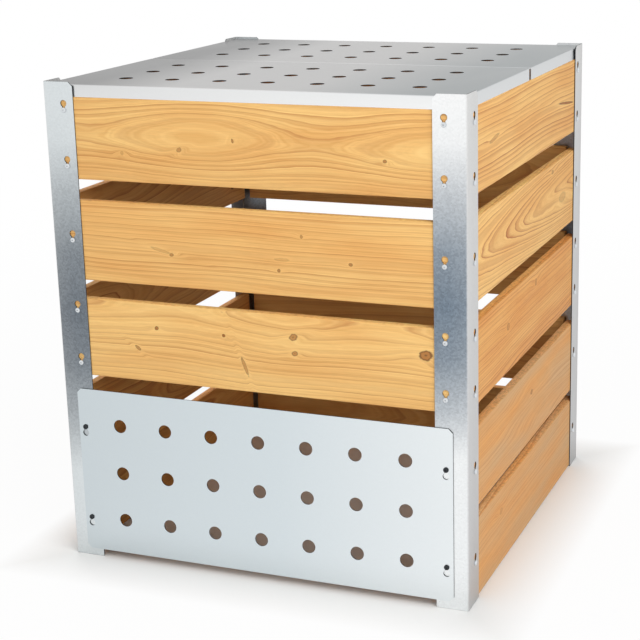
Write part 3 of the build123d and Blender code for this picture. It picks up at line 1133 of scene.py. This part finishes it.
def repeated(bm, places, wall):
    """One bmesh with the shape at each place of a wall's own frame."""
    mesh = bpy.data.meshes.new("repeated_shape")
    bm.to_mesh(mesh)
    bm.free()
    row = bmesh.new()
    for place in places:
        before = len(row.verts)
        row.from_mesh(mesh)
        row.verts.ensure_lookup_table()
        moved = wall_matrix(wall) @ Matrix.Translation(place)
        bmesh.ops.transform(row, matrix=moved, verts=row.verts[before:])
    bpy.data.meshes.remove(mesh)
    return row


class COMPOSTBIN_OT_board_screws(bpy.types.Operator):
    """Turns the pan-head screws that hang each wall's boards in the keyholes"""

    bl_idname = "compostbin.board_screws"
    bl_label = "Board Screws"

    def execute(self, context):
        settings = context.scene.compost_bin.fasteners
        material = zinc("bright_zinc_plating", settings.plating_dark, settings.plating)
        for wall in WALLS:
            reach = screw_reach(wall)
            places = [(x, 0, z) for x in (-reach, reach) for z in screw_heights(wall)]
            row = repeated(screw_bmesh(settings, 0, 0, BOARD_SCREW_LENGTH), places, wall)
            node = f"{wall}_wall_screws"
            piece(row, f"turned_{node}", material, "frame", "zinc_fasteners", node)
        return {"FINISHED"}


class COMPOSTBIN_OT_panel_fasteners(bpy.types.Operator):
    """Turns the panel's shoulder screws and their hexagon nuts"""

    bl_idname = "compostbin.panel_fasteners"
    bl_label = "Panel Fasteners"

    def execute(self, context):
        settings = context.scene.compost_bin.fasteners
        # Dark zinc on the panel's screws is painted shade, standing in for the shade in the keyholes round
        # their heads; the nuts share it
        material = zinc("panel_zinc_darkened_as_painted_shade", settings.painted_shade_worn, settings.painted_shade_plating)
        reach = screw_reach("front")
        places = [(x, z) for x in (-reach, reach) for z in PANEL_SCREW_HEIGHTS]
        low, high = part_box("panel_screws")
        head_seat = low.y + settings.head_height + HALF_DEPTH
        screw = screw_bmesh(settings, PANEL_SHOULDER, -head_seat, high.y + HALF_DEPTH - head_seat)
        row = repeated(screw, [(x, head_seat, z) for x, z in places], "front")
        piece(row, "turned_panel_screws", material, "frame", "zinc_fasteners", "panel_screws")
        row = repeated(self.nut_bmesh(settings), [(x, 0, z) for x, z in places], "front")
        piece(row, "hexagon_panel_nuts", material, "frame", "zinc_fasteners", "panel_nuts")
        return {"FINISHED"}

    def nut_bmesh(self, settings):
        """Hexagon nut on the post's inner face, its corners turned off and its bore open."""
        low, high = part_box("panel_nuts")
        start, end = low.y + HALF_DEPTH, high.y + HALF_DEPTH
        corner = NUT_HALF_WIDTH / math.cos(math.pi / 6)
        standing = Matrix.Translation((0, (start + end) / 2, 0)) @ Matrix.Rotation(-math.pi / 2, 4, "X")
        shapes = []
        for sides, radius, length in (
            (6, corner, end - start),
            (settings.steps, NUT_BORE, 4 * (end - start)),
        ):
            bm = bmesh.new()
            bmesh.ops.create_cone(
                bm,
                cap_ends=True,
                segments=sides,
                radius1=radius,
                radius2=radius,
                depth=length,
                matrix=standing,
            )
            shapes.append(bm)
        nut, bore = shapes
        rounded(nut, rim_edges(nut, BACK), NUT_CORNER_ROUND, END_STEPS)
        return carved(nut, bore)


class COMPOSTBIN_OT_stage(bpy.types.Operator):
    """Lays the pale floor, hangs the soft lamps and stands the camera where the photograph was taken"""

    bl_idname = "compostbin.stage"
    bl_label = "Studio Stage"

    def execute(self, context):
        settings = context.scene.compost_bin.stage
        context.scene.view_settings.view_transform = "Standard"
        self.lay_floor(context.scene, settings)
        self.light_room(context.scene, settings)
        self.stand_camera(context.scene, settings)
        return {"FINISHED"}

    def lay_floor(self, scene, settings):
        """Plain matt floor that the camera and the steel see as white, with the bin's soft shadow on it."""
        bm = bmesh.new()
        bmesh.ops.create_grid(bm, x_segments=1, y_segments=1, size=settings.floor_size / 2)
        # Just clear of the feet, so that no two faces lie in one plane
        bmesh.ops.translate(bm, vec=(0, 0, -0.5 * MM), verts=bm.verts)
        mesh = bpy.data.meshes.new("studio_floor")
        bm.to_mesh(mesh)
        bm.free()
        floor = bpy.data.objects.new("studio_floor", mesh)
        scene.collection.objects.link(floor)
        material = bpy.data.materials.new("matt_white_floor")
        material.use_nodes = True
        tree = material.node_tree
        tree.nodes.clear()
        matt = add_node(tree, "ShaderNodeBsdfDiffuse", {"Color": settings.floor_colour})
        glow = add_node(tree, "ShaderNodeEmission", {"Color": (1, 1, 1, 1), "Strength": 1.0})
        place = add_node(tree, "ShaderNodeTexCoord").outputs["Object"]
        spot = add_node(tree, "ShaderNodeSeparateXYZ", {0: place}).outputs
        outside = []
        for axis, half in (("X", HALF_WIDTH), ("Y", HALF_DEPTH)):
            reach = add_node(tree, "ShaderNodeMath", {0: spot[axis]}, operation="ABSOLUTE").outputs[0]
            past = add_node(tree, "ShaderNodeMath", {0: reach, 1: half}, operation="SUBTRACT").outputs[0]
            outside.append(past)
        away = add_node(
            tree, "ShaderNodeMath", {0: outside[0], 1: outside[1]}, operation="MAXIMUM"
        ).outputs[0]
        far = add_node(
            tree, "ShaderNodeMapRange", {"Value": away, "From Min": 0.0, "From Max": settings.shadow_reach}
        ).outputs[0]
        fade = add_node(tree, "ShaderNodeValToRGB", {"Fac": far}, stops=FLOOR_WHITENESS).outputs["Color"]
        seen = self.seen_share(tree, fade)
        mixed = add_node(tree, "ShaderNodeMixShader", {0: seen, 1: matt.outputs[0], 2: glow.outputs[0]})
        add_node(tree, "ShaderNodeOutputMaterial", {"Surface": mixed.outputs[0]})
        mesh.materials.append(material)

    def seen_share(self, tree, share):
        """Share for rays that show the background: those of the camera, of gloss and of clear things."""
        path = add_node(tree, "ShaderNodeLightPath")
        total = path.outputs["Is Camera Ray"]
        for kind in ("Is Glossy Ray", "Is Transmission Ray"):
            total = add_node(
                tree, "ShaderNodeMath", {0: total, 1: path.outputs[kind]}, operation="MAXIMUM"
            ).outputs[0]
        return add_node(tree, "ShaderNodeMath", {0: total, 1: share}, operation="MULTIPLY").outputs[0]

    def light_room(self, scene, settings):
        """Even room light with large soft lamps: one in front, one high at the right and one behind."""
        world = bpy.data.worlds.new("white_studio")
        scene.world = world
        world.use_nodes = True
        tree = world.node_tree
        tree.nodes.clear()
        seen = self.seen_share(tree, 1.0)
        level = add_node(
            tree, "ShaderNodeMapRange", {"Value": seen, "To Min": settings.room_light, "To Max": 1.0}
        ).outputs[0]
        sky = add_node(tree, "ShaderNodeBackground", {"Color": (1, 1, 1, 1), "Strength": level})
        add_node(tree, "ShaderNodeOutputWorld", {"Surface": sky.outputs[0]})
        aim = POST_HEIGHT / 2 * UP
        for name, place, power, size in (
            ("key_lamp", Vector((-1.3, -3.6, 1.9)), settings.key_power, 5.0),
            ("fill_lamp", Vector((3.2, -2.2, 2.8)), settings.fill_power, 3.4),
            ("back_lamp", Vector((-2.6, 3.4, 2.4)), settings.back_power, 3.0),
        ):
            lamp = bpy.data.lights.new(name, "AREA")
            lamp.energy = power
            lamp.size = size
            holder = bpy.data.objects.new(name, lamp)
            holder.location = place
            # The steel shows the white room and not the lamps' own shapes
            holder.visible_glossy = False
            holder.rotation_euler = (aim - place).to_track_quat("-Z", "Y").to_euler()
            scene.collection.objects.link(holder)

    def stand_camera(self, scene, settings):
        """Camera at the photograph's viewing angle; the shift frames the bin as the photograph does."""
        camera = bpy.data.cameras.new("photo_camera")
        camera.lens = settings.lens
        camera.sensor_width = SENSOR_WIDTH
        camera.shift_x, camera.shift_y = CAMERA_SHIFT
        holder = bpy.data.objects.new("photo_camera", camera)
        scene.collection.objects.link(holder)
        yaw, pitch, roll = CAMERA_TURN
        turn = Matrix.Rotation(yaw, 4, "Z") @ Matrix.Rotation(math.pi / 2 + pitch, 4, "X")
        holder.matrix_world = Matrix.Translation(CAMERA_PLACE) @ turn @ Matrix.Rotation(roll, 4, "Z")
        scene.camera = holder


class COMPOSTBIN_PT_sidebar(bpy.types.Panel):
    """Lists the bin's pieces and the settings of its materials"""

    bl_idname = "COMPOSTBIN_PT_sidebar"
    bl_label = "Compost Bin"
    bl_space_type = "VIEW_3D"
    bl_region_type = "UI"
    bl_category = "Compost Bin"

    def draw(self, context):
        layout = self.layout
        settings = context.scene.compost_bin
        for operator in PIECE_OPERATORS:
            layout.operator(operator.bl_idname)
        for group in (settings.larch, settings.steel, settings.fasteners, settings.stage):
            column = layout.box().column()
            for name in group.bl_rna.properties.keys():
                if name not in ("rna_type", "name"):
                    column.prop(group, name)


PIECE_OPERATORS = (
    COMPOSTBIN_OT_posts,
    COMPOSTBIN_OT_boards,
    COMPOSTBIN_OT_board_screws,
    COMPOSTBIN_OT_removal_panel,
    COMPOSTBIN_OT_panel_fasteners,
    COMPOSTBIN_OT_lid,
    COMPOSTBIN_OT_stage,
)
CLASSES = (
    LarchSettings,
    SteelSettings,
    FastenerSettings,
    StageSettings,
    BinSettings,
    *PIECE_OPERATORS,
    COMPOSTBIN_PT_sidebar,
)


def register():
    for cls in CLASSES:
        bpy.utils.register_class(cls)
    bpy.types.Scene.compost_bin = PointerProperty(
        name="Compost bin", description="Settings of the compost bin", type=BinSettings
    )


def unregister():
    del bpy.types.Scene.compost_bin
    for cls in reversed(CLASSES):
        bpy.utils.unregister_class(cls)


def main():
    """Builds the bin and its stage."""
    register()
    bpy.ops.compostbin.posts()
    bpy.ops.compostbin.boards()
    bpy.ops.compostbin.board_screws()
    bpy.ops.compostbin.removal_panel()
    bpy.ops.compostbin.panel_fasteners()
    bpy.ops.compostbin.lid()
    bpy.ops.compostbin.stage()


if __name__ == "__main__":
    main()
